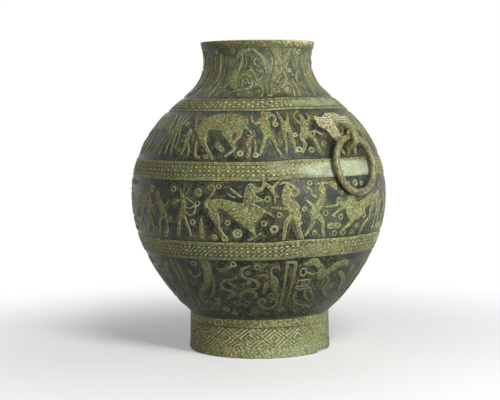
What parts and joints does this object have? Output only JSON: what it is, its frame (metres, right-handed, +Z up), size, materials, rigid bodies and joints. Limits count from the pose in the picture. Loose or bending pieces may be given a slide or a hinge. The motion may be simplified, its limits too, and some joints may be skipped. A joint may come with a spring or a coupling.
{
  "type": "bronze hu vase",
  "caption": "Round-bellied bronze hu vase on a tall foot, with cast mask lugs on its shoulders that each hold a loose swinging ring handle.",
  "frame": {"origin": "middle of the foot's underside, on the surface that the vase stands on", "axes": "+Z up along the vase's axis; the two lugs and rings lie on +X and -X; -Y is a side between the lugs"},
  "size_m": [0.3158, 0.2991, 0.36],
  "materials": {
    "patinated_bronze": "dark patinated bronze with green and khaki raised relief, semi-gloss ground",
    "lug_bronze": "granular olive-brown patinated bronze",
    "ring_bronze": "smooth handled bronze, olive brown with worn highlights"
  },
  "bodies": {
    "vase": {"vase_body": "patinated_bronze", "mask_lug_right": "lug_bronze", "mask_lug_left": "lug_bronze"},
    "ring_right": {"ring_handle_right": "ring_bronze"},
    "ring_left": {"ring_handle_left": "ring_bronze"}
  },
  "joints": [
    {"name": "ring_right_swing", "type": "hinge", "parent": "vase", "child": "ring_right", "pos_m": [0.14036, 0, 0.2505], "axis": [0, -1, 0], "range_deg": [0, 205]},
    {"name": "ring_left_swing", "type": "hinge", "parent": "vase", "child": "ring_left", "pos_m": [-0.14036, 0, 0.2505], "axis": [0, 1, 0], "range_deg": [0, 205]}
  ]
}
